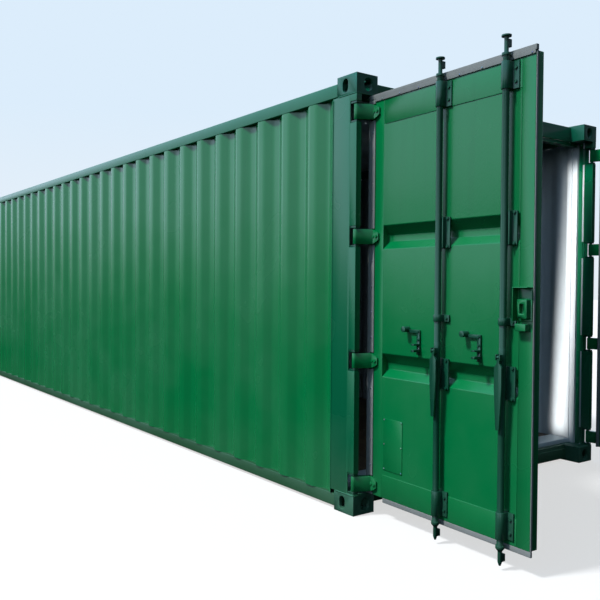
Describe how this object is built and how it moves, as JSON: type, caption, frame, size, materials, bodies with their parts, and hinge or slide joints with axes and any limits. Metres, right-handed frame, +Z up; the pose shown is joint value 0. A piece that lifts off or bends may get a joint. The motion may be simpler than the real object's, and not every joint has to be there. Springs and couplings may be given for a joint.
{
  "type": "shipping container",
  "caption": "Long steel dry-goods container with corrugated sides, corner castings, a boarded floor and two open doors with locking bars and handles at one end.",
  "frame": {"origin": "centre of the footprint on the ground, in the plane of the bottom faces of the four bottom corner castings", "axes": "+X along the container towards the doors, +Y across it to the far side, +Z up"},
  "size_m": [13.37, 3.5108, 2.591],
  "materials": {
    "green_wall": "gloss paint",
    "green_frame": "gloss paint",
    "green_door": "gloss paint",
    "green_hardware": "gloss paint",
    "grey_inside": "satin paint",
    "seal_rubber": "matt rubber",
    "floor_wood": "worn hardwood board",
    "ring_steel": "zinc"
  },
  "bodies": {
    "frame": {"bottom_corner_castings": "green_frame", "bottom_side_rails": "green_frame", "cam_keepers": "green_hardware", "cross_members": "green_frame", "door_header": "green_frame", "door_posts": "green_frame", "door_sill": "green_frame", "far_side_wall": "green_wall", "floor_boards": "floor_wood", "front_cross_rails": "green_frame", "front_posts": "green_frame", "front_wall": "green_wall", "hinge_lugs": "green_hardware", "lashing_rings": "ring_steel", "near_side_wall": "green_wall", "roof_sheet": "green_wall", "threshold_plate": "grey_inside", "top_corner_castings": "green_frame", "top_side_rails": "green_frame"},
    "near_door": {"near_door_stiles": "green_door", "near_door_rails": "green_door", "near_door_panel": "green_door", "near_door_seal": "seal_rubber", "near_hinge_blades": "green_hardware", "near_bar_sleeves": "green_hardware", "near_handle_catches": "green_hardware", "lock_box": "green_hardware", "data_plate": "green_hardware"},
    "near_inner_bar": {"near_inner_bar": "green_hardware"},
    "near_inner_handle": {"near_inner_handle": "green_hardware"},
    "near_outer_bar": {"near_outer_bar": "green_hardware"},
    "near_outer_handle": {"near_outer_handle": "green_hardware"},
    "far_door": {"far_door_stiles": "green_door", "far_door_rails": "green_door", "far_door_panel": "green_door", "far_door_seal": "seal_rubber", "far_hinge_blades": "green_hardware", "far_bar_sleeves": "green_hardware", "far_handle_catches": "green_hardware"},
    "far_inner_bar": {"far_inner_bar": "green_hardware"},
    "far_inner_handle": {"far_inner_handle": "green_hardware"},
    "far_outer_bar": {"far_outer_bar": "green_hardware"},
    "far_outer_handle": {"far_outer_handle": "green_hardware"}
  },
  "joints": [
    {"name": "near_door_hinge", "type": "hinge", "parent": "frame", "child": "near_door", "pos_m": [6.076, -1.199, 1.2955], "axis": [0, 0, -1], "range_deg": [-92, 178]},
    {"name": "far_door_hinge", "type": "hinge", "parent": "frame", "child": "far_door", "pos_m": [6.076, 1.199, 1.2955], "axis": [0, 0, 1], "range_deg": [-160, 110]},
    {"name": "near_inner_bar_turn", "type": "hinge", "parent": "near_door", "child": "near_inner_bar", "pos_m": [6.68779, -1.15833, 1.2955], "axis": [0, 0, 1], "range_deg": [-90, 90]},
    {"name": "near_inner_handle_drop", "type": "hinge", "parent": "near_inner_bar", "child": "near_inner_handle", "pos_m": [6.68682, -1.18631, 1.02], "axis": [0.9994, -0.0349, 0], "range_deg": [-90, 0]},
    {"name": "near_outer_bar_turn", "type": "hinge", "parent": "near_door", "child": "near_outer_bar", "pos_m": [7.11953, -1.1734, 1.2955], "axis": [0, 0, 1], "range_deg": [-90, 90]},
    {"name": "near_outer_handle_drop", "type": "hinge", "parent": "near_outer_bar", "child": "near_outer_handle", "pos_m": [7.11855, -1.20139, 1.02], "axis": [0.9994, -0.0349, 0], "range_deg": [-90, 0]},
    {"name": "far_inner_bar_turn", "type": "hinge", "parent": "far_door", "child": "far_inner_bar", "pos_m": [6.34289, 1.75101, 1.2955], "axis": [0, 0, -1], "range_deg": [-90, 90]},
    {"name": "far_inner_handle_drop", "type": "hinge", "parent": "far_inner_bar", "child": "far_inner_handle", "pos_m": [6.31658, 1.76058, 1.02], "axis": [-0.342, -0.9397, 0], "range_deg": [-90, 0]},
    {"name": "far_outer_bar_turn", "type": "hinge", "parent": "far_door", "child": "far_outer_bar", "pos_m": [6.49065, 2.15695, 1.2955], "axis": [0, 0, -1], "range_deg": [-90, 90]},
    {"name": "far_outer_handle_drop", "type": "hinge", "parent": "far_outer_bar", "child": "far_outer_handle", "pos_m": [6.46434, 2.16653, 1.02], "axis": [-0.342, -0.9397, 0], "range_deg": [-90, 0]}
  ]
}
